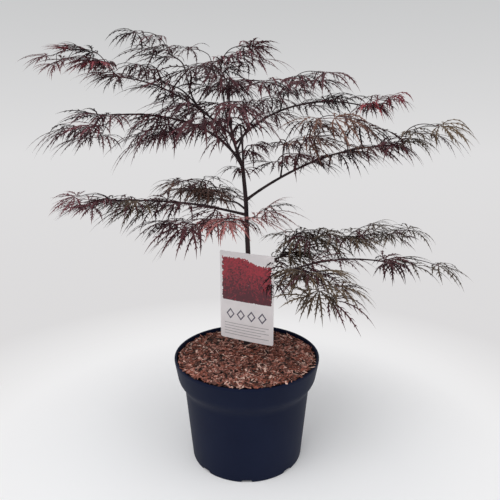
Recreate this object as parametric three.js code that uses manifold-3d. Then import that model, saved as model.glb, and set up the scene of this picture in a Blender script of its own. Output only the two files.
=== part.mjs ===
// A young laceleaf maple in a round nursery pot. A thin leaning trunk forks half way up, and boughs
// arch out into three tiers, with drooping pads of finely cut foliage at and along their ends.
// Units are millimetres, +Z is up, and the origin is the centre of the pot's flat underside.
// Headings are degrees round Z from +X, and elevations are degrees above the horizon.

import * as THREE from "three";
import { mergeVertices } from "three/addons/utils/BufferGeometryUtils.js";
import Module from "manifold-3d";

const wasm = await Module();
wasm.setup();

// ---------------------------------------------------------------- driving dimensions

const GAP = 0.4; // clearance between pieces that touch
const MERGE_DISTANCE = 1e-3; // vertices closer than this are one

const POT = {
  rimRadius: 116,
  bandFootRadius: 110, // the rim band narrows to this at its foot
  bodyTopRadius: 100.5,
  footRadius: 90,
  height: 172,
  bandHeight: 37,
  shoulderHeight: 7, // slope from the band's foot in to the body
  wall: 2.2,
  innerStep: 1, // the band's inside starts this far above its outside
  lipWall: 3.6,
  floor: 3,
  lipBevel: 0.8, // the rim's outer edge is cut back this far inwards,
  lipBevelHeight: 1, // and this far down
  lipSetback: 0.6, // the rim's face stands this far inside its radius
  sides: 36,
  notches: 8, // drainage notches round the foot
  notchWidth: 15,
  notchHeight: 4,
  notchDepth: 9,
};

const COMPOST = {
  below: 6, // its surface lies this far below the rim
  play: 0.2, // how much further than the gap it keeps from the pot's inner corners
  cornerLift: 1,
  sides: 36,
};

const TRUNK = {
  foot: [0, 13],
  bends: [
    [3, 11.5, 290],
    [0, 9, 385],
    [-2, 7, 430],
  ],
  fork: [-6, 5, 471],
  footRadius: 5.6,
  forkRadius: 3.2,
  flare: 4.2, // extra radius at the root flare
  flareHeight: 13,
  rings: 10,
  ringCrowding: 1.7, // how much closer the rings are at the foot than at the fork
  lookupSteps: 200, // points of its axis that are searched for a height
};

const TRUNK_SIDES = 8;
const LIMB_SIDES = 5;
const LIMB_STEP = 32; // length of a bough between two of its rings
const HANDLE = 0.36; // length of a limb's curve handles, as a share of its span

// Each bough leaves its parent at the share `at` of the parent's length and ends at its tip.
const BOUGHS = [
  { name: "leader", from: "trunk", at: 1,
    tip: [-24, 2, 580], out: 66, end: 95, radii: [2.6, 1.5] },
  { name: "bough_mid_left", from: "trunk", at: 0.985,
    tip: [-182, -40, 543], out: 66, end: -4, radii: [2.5, 1.1] },
  { name: "bough_top_left", from: "leader", at: 0.4,
    tip: [-188, 38, 597], out: 40, end: 6, radii: [1.9, 1] },
  { name: "bough_top_right", from: "leader", at: 0.28,
    tip: [180, 30, 554], out: 52, end: -14, radii: [2, 1] },
  { name: "bough_mid_right", from: "trunk", at: 0.83,
    tip: [204, -30, 502], out: 36, end: 2, radii: [2.4, 1.1] },
  { name: "bough_mid_front", from: "trunk", at: 0.95,
    tip: [-8, -118, 532], out: 60, end: 0, radii: [2, 1.1] },
  { name: "bough_mid_back", from: "leader", at: 0.2,
    tip: [28, 108, 545], out: 42, end: 2, radii: [1.9, 1.1] },
  { name: "bough_low_left", from: "trunk", at: 0.75,
    tip: [-202, -10, 421], out: 18, end: 0, radii: [2.3, 1.1] },
  { name: "bough_low_left_back", from: "trunk", at: 0.78,
    tip: [-48, 82, 408], out: 24, end: 0, radii: [1.9, 1.1] },
  { name: "bough_low_left_front", from: "trunk", at: 0.71,
    tip: [-46, -44, 398], out: 30, end: 0, radii: [1.8, 1.1] },
  { name: "bough_low_right", from: "trunk", at: 0.33,
    tip: [212, -30, 332], out: 42, end: -8, radii: [2.5, 1.1] },
  { name: "bough_low_right_back", from: "trunk", at: 0.42,
    tip: [88, 62, 326], out: 36, end: 4, radii: [2.2, 1.2] },
  { name: "bough_low_right_front", from: "bough_low_right", at: 0.36,
    tip: [92, -62, 324], out: 20, end: -6, radii: [1.7, 1] },
  { name: "twig_low_right", from: "trunk", at: 0.73,
    tip: [14, 10, 394], out: 25, end: 10, radii: [1.2, 0.9] },
];

// Each pad of foliage grows from the share `at` of a bough, moved by `shift`. Its size is its length
// along the heading, its width and its depth. It arches by `crown`, and its outer end drops by `droop`.
// A pad that stands away from its bough has a side bough, which leaves at the share `fork`.
const PADS = [
  // the top tier
  { name: "pad_top_left_tip", on: "bough_top_left", at: 1, shift: [6, 0, 10],
    heading: 184, size: [146, 78, 36], crown: 14, droop: 20 },
  { name: "pad_top_left_front", on: "bough_top_left", fork: 0.24, at: 0.5, shift: [-6, -50, 16],
    heading: 184, size: [90, 66, 38], crown: 8, droop: 12 },
  { name: "pad_top_left_crest", on: "bough_top_left", fork: 0.3, at: 0.5, shift: [-4, 8, 58],
    heading: 180, size: [108, 74, 40], crown: 12, droop: 14 },
  { name: "pad_top_left_arch", on: "leader", fork: 0.45, at: 0.9, shift: [-18, 46, 46],
    heading: 168, size: [98, 62, 30], crown: 8, droop: 6 },
  { name: "pad_top_crown", on: "leader", at: 1, shift: [-26, 0, 22],
    heading: 4, size: [108, 88, 50], crown: 12, droop: 10 },
  { name: "pad_upper_left", on: "leader", at: 0.75, shift: [2, -12, 20],
    heading: 204, size: [106, 86, 56], crown: 9, droop: 8 },
  { name: "pad_upper_right", on: "leader", at: 0.75, shift: [18, -8, 4],
    heading: 334, size: [94, 78, 58], crown: 9, droop: 10 },
  { name: "pad_top_right_crest", on: "bough_top_right", fork: 0.38, at: 0.45, shift: [-10, 44, 25],
    heading: 2, size: [118, 74, 46], crown: 10, droop: 22 },
  { name: "pad_top_right_tip", on: "bough_top_right", at: 1, shift: [-6, 0, -4],
    heading: 356, size: [76, 64, 46], crown: 7, droop: 14 },
  { name: "pad_top_back", on: "leader", at: 0.95, shift: [6, 8, -2],
    heading: 98, size: [124, 94, 42], crown: 8, droop: 16 },
  // the middle tier
  { name: "pad_mid_left_tip", on: "bough_mid_left", at: 1, shift: [10, 0, -28],
    heading: 184, size: [118, 88, 58], crown: 8, droop: 20 },
  { name: "pad_mid_left_under", on: "bough_mid_left", at: 0.62, shift: [10, -6, -27],
    heading: 187, size: [102, 80, 70], crown: 6, droop: 8 },
  { name: "pad_mid_left_back", on: "bough_mid_left", fork: 0.06, at: 0.3, shift: [26, 52, 0],
    heading: 172, size: [108, 76, 74], crown: 6, droop: 12 },
  { name: "pad_mid_left_front", on: "bough_mid_left", fork: 0.14, at: 0.45, shift: [26, -80, 4],
    heading: 212, size: [94, 80, 44], crown: 6, droop: 12 },
  { name: "pad_mid_front", on: "bough_mid_front", at: 1,
    heading: 268, size: [104, 118, 44], crown: 8, droop: 18 },
  { name: "pad_mid_back", on: "bough_mid_back", at: 1,
    heading: 78, size: [112, 124, 48], crown: 8, droop: 20 },
  { name: "pad_mid_right_front", on: "bough_mid_right", fork: 0.38, at: 0.45, shift: [-16, -54, 36],
    heading: 352, size: [118, 82, 56], crown: 10, droop: 12 },
  { name: "pad_mid_right_back", on: "bough_mid_right", fork: 0.28, at: 0.35, shift: [-14, 66, 38],
    heading: 12, size: [112, 86, 56], crown: 8, droop: 14 },
  { name: "pad_mid_right_outer", on: "bough_mid_right", at: 0.7, shift: [2, 6, 14],
    heading: 4, size: [80, 62, 44], crown: 8, droop: 8 },
  { name: "pad_mid_right_tip", on: "bough_mid_right", at: 1, shift: [0, 0, -2],
    heading: 0, size: [112, 82, 46], crown: 12, droop: 18 },
  { name: "pad_mid_right_under", on: "bough_mid_right", at: 0.3, shift: [-24, 4, 10],
    heading: 0, size: [98, 58, 30], crown: 6, droop: -8 },
  { name: "pad_mid_inner", on: "leader", at: 0.3, shift: [12, -12, -22],
    heading: 340, size: [58, 54, 46], crown: 4, droop: 6 },
  // the lowest tier
  { name: "pad_low_left_tip", on: "bough_low_left", at: 1, shift: [10, 0, -10],
    heading: 184, size: [100, 76, 44], crown: 10, droop: 28 },
  { name: "pad_low_left_under", on: "bough_low_left", at: 0.62, shift: [10, -8, -22],
    heading: 182, size: [110, 80, 54], crown: 6, droop: 8 },
  { name: "pad_low_left_back", on: "bough_low_left_back", at: 1, shift: [36, -8, 2],
    heading: 152, size: [170, 106, 50], crown: 6, droop: 14 },
  { name: "pad_low_left_front", on: "bough_low_left_front", at: 1, shift: [-18, -30, -15],
    heading: 204, size: [96, 82, 62], crown: 8, droop: 12 },
  { name: "pad_low_front", on: "bough_low_left_front", at: 0.9, shift: [30, -12, -14],
    heading: 216, size: [78, 58, 54], crown: 4, droop: 6 },
  { name: "pad_low_right_inner", on: "twig_low_right", at: 1, shift: [0, 0, -4],
    heading: 4, size: [68, 46, 24], crown: 7, droop: 18 },
  { name: "pad_low_right_back", on: "bough_low_right_back", at: 1, shift: [-54, -22, 2],
    heading: 14, size: [160, 94, 52], crown: 10, droop: 12 },
  { name: "pad_low_right_far", on: "bough_low_right_back", fork: 0.7, at: 1, shift: [54, 12, 10],
    heading: 6, size: [184, 90, 50], crown: 14, droop: 14 },
  { name: "pad_low_right_front", on: "bough_low_right_front", at: 1, shift: [-46, 8, -20],
    heading: 340, size: [152, 86, 64], crown: 8, droop: 30 },
  { name: "pad_low_right_tip", on: "bough_low_right", at: 1, shift: [-22, 0, -12],
    heading: 352, size: [134, 74, 42], crown: 10, droop: 22 },
];
const PAD_SLICES = 12;
const PAD_STACKS = 7;
const PAD_SIDE_FALL = 0.3; // how far a pad's sides hang, as a share of its depth
const PAD_INSET = 3; // a pad starts this far behind its entry
// Shallow lobes round a pad's outline: their size as a share of it, how many, and their turn per pad.
const PAD_LOBES = [
  { size: 0.09, count: 3, turn: 1 },
  { size: 0.06, count: 5, turn: 2.3 },
];
const SIDE_BOUGH = { out: 34, end: 0, reach: 8, radii: [1.5, 0.9] }; // it reaches this far into its pad

const LABEL = {
  width: 93,
  height: 146,
  thickness: 0.8,
  corner: 3,
  bottom: 191, // height of its lower edge
  heading: -26, // the way its width runs
};

const LABEL_LOOP = {
  height: 8,
  thickness: 1,
  centre: 327, // height of its middle
  play: 1.2, // between it and the trunk
  sides: 16,
};

// ---------------------------------------------------------------- materials

const finish = (color, roughness) => new THREE.MeshStandardMaterial({ color, roughness, metalness: 0 });
const POT_PLASTIC = finish(0x1b2033, 0.45);
const BARK_CHIPS = finish(0x6b4638, 0.9);
const MAPLE_BARK = finish(0x2b2326, 0.7);
const MAPLE_FOLIAGE = finish(0x4a2a2f, 0.65);
const LABEL_CARD = finish(0xe4dedd, 0.5);

// ---------------------------------------------------------------- solids

const group = new THREE.Group();
const rad = THREE.MathUtils.degToRad;
const mix = THREE.MathUtils.lerp;

// A closed three.js geometry as a solid that can be cut.
function solidOf(geometry) {
  const bare = geometry.clone();
  const extras = Object.keys(bare.attributes).filter((name) => name !== "position");
  extras.forEach((name) => bare.deleteAttribute(name));
  const merged = mergeVertices(bare, MERGE_DISTANCE);
  return new wasm.Manifold(
    new wasm.Mesh({
      numProp: 3,
      vertProperties: new Float32Array(merged.attributes.position.array),
      triVerts: new Uint32Array(merged.index.array),
    }),
  );
}

function geometryOf(solid) {
  const mesh = solid.getMesh();
  const geometry = new THREE.BufferGeometry();
  geometry.setAttribute("position", new THREE.BufferAttribute(mesh.vertProperties, 3));
  geometry.setIndex(new THREE.BufferAttribute(mesh.triVerts, 1));
  geometry.computeVertexNormals();
  return geometry;
}

// The largest of the separate bodies that a cut leaves.
function largest(solid) {
  return solid.decompose().sort((a, b) => b.volume() - a.volume())[0];
}

function add(name, geometry, material) {
  const mesh = new THREE.Mesh(geometry, material);
  mesh.name = name;
  group.add(mesh);
}

// ---------------------------------------------------------------- pot and compost

function potOuterProfile() {
  const bandFoot = POT.height - POT.bandHeight;
  return [
    [POT.footRadius, 0],
    [POT.bodyTopRadius, bandFoot - POT.shoulderHeight],
    [POT.bandFootRadius, bandFoot],
    [POT.rimRadius - POT.lipSetback, POT.height - POT.lipBevelHeight],
    [POT.rimRadius - POT.lipSetback - POT.lipBevel, POT.height],
  ];
}

function potInnerProfile() {
  const bandFoot = POT.height - POT.bandHeight;
  return [
    [POT.rimRadius - POT.lipWall, POT.height],
    [POT.bandFootRadius - POT.wall, bandFoot + POT.innerStep],
    [POT.bodyTopRadius - POT.wall, bandFoot - POT.shoulderHeight],
    [POT.footRadius - POT.wall, POT.floor],
  ];
}

function lathe(profile, sides) {
  return new THREE.LatheGeometry(
    profile.map(([r, z]) => new THREE.Vector2(r, z)),
    sides,
  ).rotateX(Math.PI / 2);
}

function potGeometry() {
  const section = [[0, 0], ...potOuterProfile(), ...potInnerProfile(), [0, POT.floor]];
  let pot = solidOf(lathe(section, POT.sides));
  for (let i = 0; i < POT.notches; i++) {
    const notch = new THREE.BoxGeometry(2 * POT.notchDepth, POT.notchWidth, 2 * POT.notchHeight)
      .translate(POT.footRadius, 0, 0)
      .rotateZ((i * 2 * Math.PI) / POT.notches);
    pot = pot.subtract(solidOf(notch));
  }
  return geometryOf(pot);
}

const compostTop = POT.height - COMPOST.below;

// The compost fills the pot from its floor to just under the rim.
function compostGeometry() {
  const inside = potInnerProfile();
  const [rimR, rimZ] = inside[0];
  const [bandR, bandZ] = inside[1];
  const topRadius = mix(bandR, rimR, (compostTop - bandZ) / (rimZ - bandZ));
  // The facets of the compost lie inside those of the pot at every angle.
  const shrink = Math.cos(Math.PI / POT.sides);
  const clear = ([r, z]) => [r * shrink - GAP, z];
  const floorZ = POT.notchHeight + GAP; // clear of the notches in the pot's floor
  return lathe(
    [
      [0, floorZ],
      clear([inside[3][0], floorZ]),
      clear([inside[2][0] - COMPOST.play, inside[2][1]]),
      clear([bandR - COMPOST.play, bandZ + COMPOST.cornerLift]),
      clear([topRadius, compostTop]),
      [0, compostTop],
    ],
    COMPOST.sides,
  );
}

// ---------------------------------------------------------------- trunk and boughs

// A cylinder whose rings are moved to where `place` puts them, at each share of its length.
function sweep(sides, rings, place) {
  const geometry = new THREE.CylinderGeometry(1, 1, 1, sides, rings);
  const position = geometry.attributes.position;
  for (let i = 0; i < position.count; i++) {
    const share = Math.round((position.getY(i) + 0.5) * rings) / rings;
    const point = place(share, position.getX(i), -position.getZ(i));
    position.setXYZ(i, point.x, point.y, point.z);
  }
  return geometry;
}

function trunkCurve() {
  const [x, y] = TRUNK.foot;
  const foot = new THREE.Vector3(x, y, compostTop + GAP);
  const bends = TRUNK.bends.map((p) => new THREE.Vector3(...p));
  return new THREE.CatmullRomCurve3([foot, ...bends, new THREE.Vector3(...TRUNK.fork)]);
}

function trunkRadius(share, length) {
  const flare = TRUNK.flare * Math.exp((-share * length) / TRUNK.flareHeight);
  return mix(TRUNK.footRadius, TRUNK.forkRadius, share) + flare;
}

// The trunk's rings are level, so that its foot is a flat cut on the compost, and closer at the flare.
function trunkGeometry(extra = 0) {
  const curve = curves.trunk;
  const length = curve.getLength();
  return sweep(TRUNK_SIDES, TRUNK.rings, (share, x, y) => {
    const along = share ** TRUNK.ringCrowding;
    const radius = trunkRadius(along, length) + extra;
    return curve.getPointAt(along).add(new THREE.Vector3(x * radius, y * radius, 0));
  });
}

function direction(heading, elevation) {
  const level = Math.cos(rad(elevation));
  return new THREE.Vector3(
    level * Math.cos(rad(heading)),
    level * Math.sin(rad(heading)),
    Math.sin(rad(elevation)),
  );
}

// A bough is one curve from its parent to its tip, which leaves at one elevation and ends at another.
function boughCurve(bough, parent) {
  const start = parent.getPointAt(bough.at);
  const tip = new THREE.Vector3(...bough.tip);
  const heading = THREE.MathUtils.radToDeg(Math.atan2(tip.y - start.y, tip.x - start.x));
  const handle = HANDLE * start.distanceTo(tip);
  return new THREE.CubicBezierCurve3(
    start,
    start.clone().addScaledVector(direction(heading, bough.out), handle),
    tip.clone().addScaledVector(direction(heading, bough.end), -handle),
    tip,
  );
}

const curves = { trunk: trunkCurve() };
const wood = []; // every limb, grown by the gap, to cut what it meets

function makeTrunk() {
  add("trunk", trunkGeometry(), MAPLE_BARK);
  wood.push(solidOf(trunkGeometry(GAP)));
}

// A round tapering solid along a curve.
function limbGeometry(curve, radii, extra) {
  const rings = Math.ceil(curve.getLength() / LIMB_STEP);
  const { normals, binormals } = curve.computeFrenetFrames(rings, false);
  return sweep(LIMB_SIDES, rings, (share, x, y) => {
    const radius = mix(radii[0], radii[1], share) + extra;
    const ring = Math.round(share * rings);
    return curve
      .getPointAt(share)
      .addScaledVector(normals[ring], x * radius)
      .addScaledVector(binormals[ring], y * radius);
  });
}

function makeBough(bough) {
  const curve = boughCurve(bough, curves[bough.from]);
  curves[bough.name] = curve;
  let solid = solidOf(limbGeometry(curve, bough.radii, 0));
  for (const other of wood) solid = solid.subtract(other);
  add(bough.name, geometryOf(largest(solid)), MAPLE_BARK);
  wood.push(solidOf(limbGeometry(curve, bough.radii, GAP)));
}

// ---------------------------------------------------------------- foliage

// An uneven flattened ball, sheared into an arch whose outer end and sides hang.
function padGeometry(pad, order, extra = 0) {
  const [length, width, depth] = pad.size.map((side) => side / 2 + extra);
  const geometry = new THREE.SphereGeometry(1, PAD_SLICES, PAD_STACKS).rotateX(Math.PI / 2);
  const position = geometry.attributes.position;
  for (let i = 0; i < position.count; i++) {
    const [x, y, z] = [position.getX(i), position.getY(i), position.getZ(i)];
    const angle = Math.atan2(y, x);
    const edge = Math.hypot(x, y);
    const lobes = 1 + edge * PAD_LOBES.reduce(
      (sum, lobe) => sum + lobe.size * Math.sin(lobe.count * angle + lobe.turn * order),
      0,
    );
    const along = Math.min(x * lobes, 1);
    const across = y * lobes;
    const arch = pad.crown * (1 - along * along);
    const fall = pad.droop * ((1 + along) / 2) ** 2 + PAD_SIDE_FALL * pad.size[2] * across * across;
    position.setXYZ(i, along * length, across * width, z * depth + arch - fall);
  }
  const entry = padEntry(pad);
  return geometry
    .translate(pad.size[0] / 2 - PAD_INSET, 0, 0)
    .rotateZ(rad(pad.heading))
    .translate(entry.x, entry.y, entry.z);
}

function padEntry(pad) {
  const shift = new THREE.Vector3(...(pad.shift ?? [0, 0, 0]));
  return curves[pad.on].getPointAt(pad.at).add(shift);
}

function makeSideBough(pad) {
  const tip = padEntry(pad).addScaledVector(direction(pad.heading, 0), SIDE_BOUGH.reach);
  const name = pad.name.replace("pad", "side_bough");
  makeBough({ ...SIDE_BOUGH, name, from: pad.on, at: pad.fork, tip: tip.toArray() });
}

const foliage = []; // every pad so far, grown by the gap

function makePad(pad, order) {
  let solid = solidOf(padGeometry(pad, order));
  for (const other of [...wood, ...foliage]) solid = solid.subtract(other);
  add(pad.name, geometryOf(largest(solid)), MAPLE_FOLIAGE);
  foliage.push(solidOf(padGeometry(pad, order, GAP)));
}

// ---------------------------------------------------------------- label

// The card hangs in front of the trunk, touching the loop that goes round it.
function labelGeometry() {
  const { width, height, corner, thickness } = LABEL;
  const card = new THREE.Shape();
  const [w, h] = [width / 2, height];
  card.moveTo(-w + corner, 0);
  card.lineTo(w - corner, 0);
  card.absarc(w - corner, corner, corner, -Math.PI / 2, 0);
  card.lineTo(w, h - corner);
  card.absarc(w - corner, h - corner, corner, 0, Math.PI / 2);
  card.lineTo(-w + corner, h);
  card.absarc(-w + corner, h - corner, corner, Math.PI / 2, Math.PI);
  card.lineTo(-w, corner);
  card.absarc(-w + corner, corner, corner, Math.PI, 1.5 * Math.PI);
  const stand = loopRadii().outer + GAP;
  const axis = trunkAxisAt(LABEL_LOOP.centre);
  const options = { depth: thickness, bevelEnabled: false, curveSegments: 4 };
  return new THREE.ExtrudeGeometry(card, options)
    .rotateX(Math.PI / 2)
    .translate(0, -stand, 0)
    .rotateZ(rad(LABEL.heading))
    .translate(axis.x, axis.y, LABEL.bottom);
}

function trunkAxisAt(height) {
  return curves.trunk.getPoints(TRUNK.lookupSteps).find((p) => p.z >= height);
}

function loopRadii() {
  const { z: foot } = curves.trunk.getPointAt(0);
  const share = (LABEL_LOOP.centre - foot) / (TRUNK.fork[2] - foot);
  const inner = trunkRadius(share, curves.trunk.getLength()) + LABEL_LOOP.play;
  return { inner, outer: inner + LABEL_LOOP.thickness };
}

function loopGeometry() {
  const { inner, outer } = loopRadii();
  const half = LABEL_LOOP.height / 2;
  const axis = trunkAxisAt(LABEL_LOOP.centre);
  const section = [
    [inner, -half],
    [outer, -half],
    [outer, half],
    [inner, half],
    [inner, -half],
  ];
  return lathe(section, LABEL_LOOP.sides).translate(axis.x, axis.y, LABEL_LOOP.centre);
}

// ---------------------------------------------------------------- assembly

add("pot", potGeometry(), POT_PLASTIC);
add("compost", compostGeometry(), BARK_CHIPS);
makeTrunk();
BOUGHS.forEach(makeBough);
PADS.filter((pad) => pad.fork).forEach(makeSideBough);
PADS.forEach(makePad);
add("label_card", labelGeometry(), LABEL_CARD);
add("label_loop", loopGeometry(), LABEL_CARD);

export default group;
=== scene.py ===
"""The looks of a young laceleaf maple in a nursery pot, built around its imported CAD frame.

The limbs follow the CAD trunk and boughs. Inside each CAD pad of foliage, twigs grow on from the
nearest limb and carry opposite pairs of finely cut, drooping leaves. Lengths are in metres, +Z is up.
"""

import math

import bpy
import numpy as np
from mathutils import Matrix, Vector
from mathutils.bvhtree import BVHTree


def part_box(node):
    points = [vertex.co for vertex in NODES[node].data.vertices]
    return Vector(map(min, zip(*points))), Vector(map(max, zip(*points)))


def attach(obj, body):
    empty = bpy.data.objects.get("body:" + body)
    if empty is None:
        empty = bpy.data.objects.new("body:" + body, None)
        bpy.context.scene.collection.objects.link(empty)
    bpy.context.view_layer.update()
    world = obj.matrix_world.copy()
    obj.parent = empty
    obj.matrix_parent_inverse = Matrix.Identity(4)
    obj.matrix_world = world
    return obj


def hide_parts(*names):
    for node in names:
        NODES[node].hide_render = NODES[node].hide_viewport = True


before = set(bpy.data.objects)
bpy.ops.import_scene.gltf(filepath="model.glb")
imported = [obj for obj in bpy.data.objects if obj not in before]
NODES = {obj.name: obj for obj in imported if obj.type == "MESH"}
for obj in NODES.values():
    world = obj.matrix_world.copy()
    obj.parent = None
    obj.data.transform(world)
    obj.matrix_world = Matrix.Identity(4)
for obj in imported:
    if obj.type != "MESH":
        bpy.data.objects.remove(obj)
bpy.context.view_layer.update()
MM = 0.001
UP = np.array([0.0, 0.0, 1.0])

# ---------------- driving sizes

CAMERA_PLACE = (0.005, -0.767, 0.546)
CAMERA_PITCH = 14.8  # degrees below level
CAMERA_LENS = 37.44
CAMERA_SENSOR = 36.0

# Limbs and twigs
TRUNK_FOOT = (0.0, 13 * MM)  # where the trunk stands in the mulch
LIMB_STEP = 2.5 * MM
LIMB_SIDES = 14
LIMB_SLIM = 0.88  # a limb's mean radius, as a share of how far the corners of its CAD solid reach
TRUNK_SIDES = 28
NODE_SPACING = 25 * MM  # between the old leaf joints of a limb
TWIG_STEP = 3 * MM
TWIG_SIDES = 6
TWIG_EASE = 0.35  # how long a twig keeps the way that it starts with
TWIG_THICKEST = 1.1 * MM

# How leaves fill a pad
FOLIAGE_SEED = 12
CROWN_MIDDLE = np.array([-4, 8]) * MM  # in plan
COLUMN_STEP = 7 * MM  # of the grid on which a pad's heights are measured
PLAN_PER_LEAF = 720 * MM * MM  # ground that each leaf covers, seen from above
LEAVES_PER_TWIG = 4.5
JOINT_GAP = 8 * MM  # the least between two pairs of leaves
TRIES_PER_LEAF = 70
TARGETS_PER_PAD = 170
TARGET_SINK = 2.1  # the higher, the more of a pad's foliage is near its top
TARGET_REACH = 7 * MM  # a lobe this near fills the space round a target
CROWDING_COST = 1.5  # what a leaf pays for each place that it fills again
SPILL_COST = 9.0  # what each 10 mm of a leaf's way out of its pad costs
ABOVE_WEIGHT = 1.2
BELOW_WEIGHT = 0.9
SLEEVE_RADIUS = 22 * MM  # of the space round a bough that its own leaves fill
LABEL_CLEARANCE = 150 * MM  # no leaf hangs this near in front of the label

# One leaf
LEAF_LENGTH = (54 * MM, 84 * MM)
STALK_LENGTH = (9 * MM, 24 * MM)
LEAF_REACH = 58 * MM  # how far a leaf's lobes get from its joint
LEAF_LIFT = (14, 6)  # degrees, the mean and the spread of the stalks' rise
LEAF_ROLL = 12  # degrees, how far leaves tip to one side
LOBE_ANGLES = (0, 36, 74, 110)  # the middle lobe's, then each pair's, from the leaf's axis
LOBE_LENGTHS = (1.0, 0.95, 0.82, 0.6)
LOBE_SWEEP = 1.3  # how far the side lobes bend towards the leaf's axis
LOBE_DROOP = (1.6, 3.4)
DROOP_POWER = 2.0  # how late along a lobe it bends down
LOBE_STEPS = 12
TYPICAL_LOBE = 55 * MM  # the length of a lobe that has the width and the barbs given here
BLADE_WIDTH = 1.3 * MM  # half of a lobe's widest
BARB_PAIRS = 5
BARB_LENGTH = 10.5 * MM
BARB_LEAN = (36, 54)  # degrees from the lobe
BARB_SPAN = 0.84  # share of a lobe's length that has barbs

# What each spray looks like: the tint of its leaves, how many it has for its ground, their size,
# how far their stalks lift and fan out from the twig in degrees, how much their lobes droop, and how
# deep in its pad its twigs run. A pad that isn't named has a plain one.


def spray(tint="plum", fullness=1.0, size=1.0, lift=0, droop=1.0, fan=85, sink=0.0):
    return {"tint": tint, "fullness": fullness, "size": size, "lift": lift, "droop": droop,
            "fan": fan, "sink": sink}


SPRAYS = {
    "pad_top_left_tip": spray("wine", 1.35, size=0.75, droop=0.55, fan=38),
    "pad_top_left_front": spray("plum", 0.6, size=0.9, droop=1.1),
    "pad_top_left_crest": spray("plum", 0.9, size=0.85, lift=8, droop=0.8, fan=65),
    "pad_top_left_arch": spray("plum", 0.35, size=0.85, lift=10),
    "pad_top_crown": spray("mulberry", 1.3, size=0.85, lift=8, droop=0.8),
    "pad_upper_left": spray("plum", 1.15, droop=0.75),
    "pad_upper_right": spray("plum", 0.25),
    "pad_top_back": spray("plum", 0.25),
    "pad_top_right_crest": spray("plum", 1.6, size=0.9, lift=8),
    "pad_top_right_tip": spray("crimson", 1.5, size=0.8, lift=6, sink=0.3),
    "pad_mid_left_tip": spray("mulberry", 1.0, droop=0.8, fan=65, sink=0.35),
    "pad_mid_left_under": spray("plum", 1.45, lift=-6, sink=0.5),
    "pad_mid_left_back": spray("mulberry", 0.3),
    "pad_mid_left_front": spray("mulberry", 0.85, droop=0.75),
    "pad_mid_front": spray("plum", 0.6),
    "pad_mid_right_outer": spray("plum", 0.75),
    "pad_mid_right_tip": spray("olive", 0.7, size=0.85, lift=4, fan=60),
    "pad_mid_right_front": spray("bronze", 1.05),
    "pad_mid_right_back": spray("plum", 0.7),
    "pad_mid_right_under": spray("plum", 0.75, lift=-4, droop=0.8),
    "pad_mid_inner": spray("plum", 2.05, size=0.8),
    "pad_mid_back": spray("plum", 0.4),
    "pad_low_left_tip": spray("mulberry", 1.0, size=0.8, droop=0.45, fan=38, sink=0.1),
    "pad_low_left_under": spray("olive", 1.3, droop=0.8, sink=0.3),
    "pad_low_left_back": spray("bronze", 1.55, lift=6, droop=0.8),
    "pad_low_left_front": spray("plum", 1.0, lift=-4, sink=0.2),
    "pad_low_front": spray("rose", 1.2, lift=8, sink=0.15),
    "pad_low_right_inner": spray("rose", 3.2, size=0.85, lift=4, droop=0.7, fan=50),
    "pad_low_right_back": spray("olive", 1.95, lift=6),
    "pad_low_right_far": spray("olive", 0.95, size=0.85, lift=6, droop=0.8, sink=0.15),
    "pad_low_right_front": spray("olive", 0.95, lift=4, sink=0.3),
    "pad_low_right_tip": spray("olive", 0.5, size=0.85, droop=0.9, fan=55, sink=0.15),
}

# Plain base colours of the leaves, a darker and a lighter one of each tint.
TINTS = {
    "plum": ((0.030, 0.0105, 0.0135), (0.072, 0.026, 0.031)),
    "mulberry": ((0.054, 0.019, 0.025), (0.130, 0.044, 0.054)),
    "wine": ((0.072, 0.015, 0.021), (0.180, 0.034, 0.044)),
    "crimson": ((0.130, 0.020, 0.028), (0.260, 0.045, 0.055)),
    "rose": ((0.200, 0.066, 0.070), (0.380, 0.150, 0.145)),
    "bronze": ((0.062, 0.032, 0.027), (0.128, 0.066, 0.050)),
    "olive": ((0.055, 0.038, 0.027), (0.108, 0.076, 0.051)),
}

# Boughs that carry leaves of their own from a share of their length outwards.
LEAFY_BOUGHS = {
    "leader": {"bare": 0.35, "leaves": 5},
    "bough_top_left": {"bare": 0.35, "leaves": 4},
    "bough_mid_left": {"bare": 0.35, "leaves": 5},
    "bough_top_right": {"bare": 0.3, "leaves": 5},
    "bough_mid_right": {"bare": 0.45, "leaves": 7},
    "bough_low_left": {"bare": 0.15, "leaves": 9},
    "bough_low_left_front": {"bare": 0.2, "leaves": 4},
    "bough_low_right": {"bare": 0.15, "leaves": 10},
    "bough_low_right_front": {"bare": 0.1, "leaves": 3},
}
TINT_BLEND = 0.18  # share of a spray's leaves that take the plum tint of the rest of the tree


# ---------------- vectors, curves and meshes


def unit(v):
    v = np.asarray(v, float)
    return v / np.maximum(np.linalg.norm(v, axis=-1, keepdims=True), 1e-12)


def lerp(a, b, t):
    return a + (b - a) * t


def resample(points, step):
    """The same line, with points about a step apart."""
    points = np.asarray(points, float)
    lengths = np.linalg.norm(np.diff(points, axis=0), axis=1)
    along = np.concatenate([[0], np.cumsum(lengths)])
    count = max(3, int(round(along[-1] / step)) + 1)
    at = np.linspace(0, along[-1], count)
    return np.stack([np.interp(at, along, points[:, i]) for i in range(points.shape[1])], axis=1)


def catmull_rom(points, step):
    """A smooth line through the points. A point may hold more than its place, such as a radius."""
    points = np.asarray(points, float)
    padded = np.vstack([2 * points[0] - points[1], points, 2 * points[-1] - points[-2]])
    t = np.linspace(0, 1, 12, endpoint=False)[:, None]
    runs = []
    for a, b, c, d in zip(padded, padded[1:], padded[2:], padded[3:]):
        runs.append(0.5 * (2 * b + (c - a) * t + (2 * a - 5 * b + 4 * c - d) * t**2
                           + (3 * b - a - 3 * c + d) * t**3))
    return resample(np.vstack(runs + [points[-1:]]), step)


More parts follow.
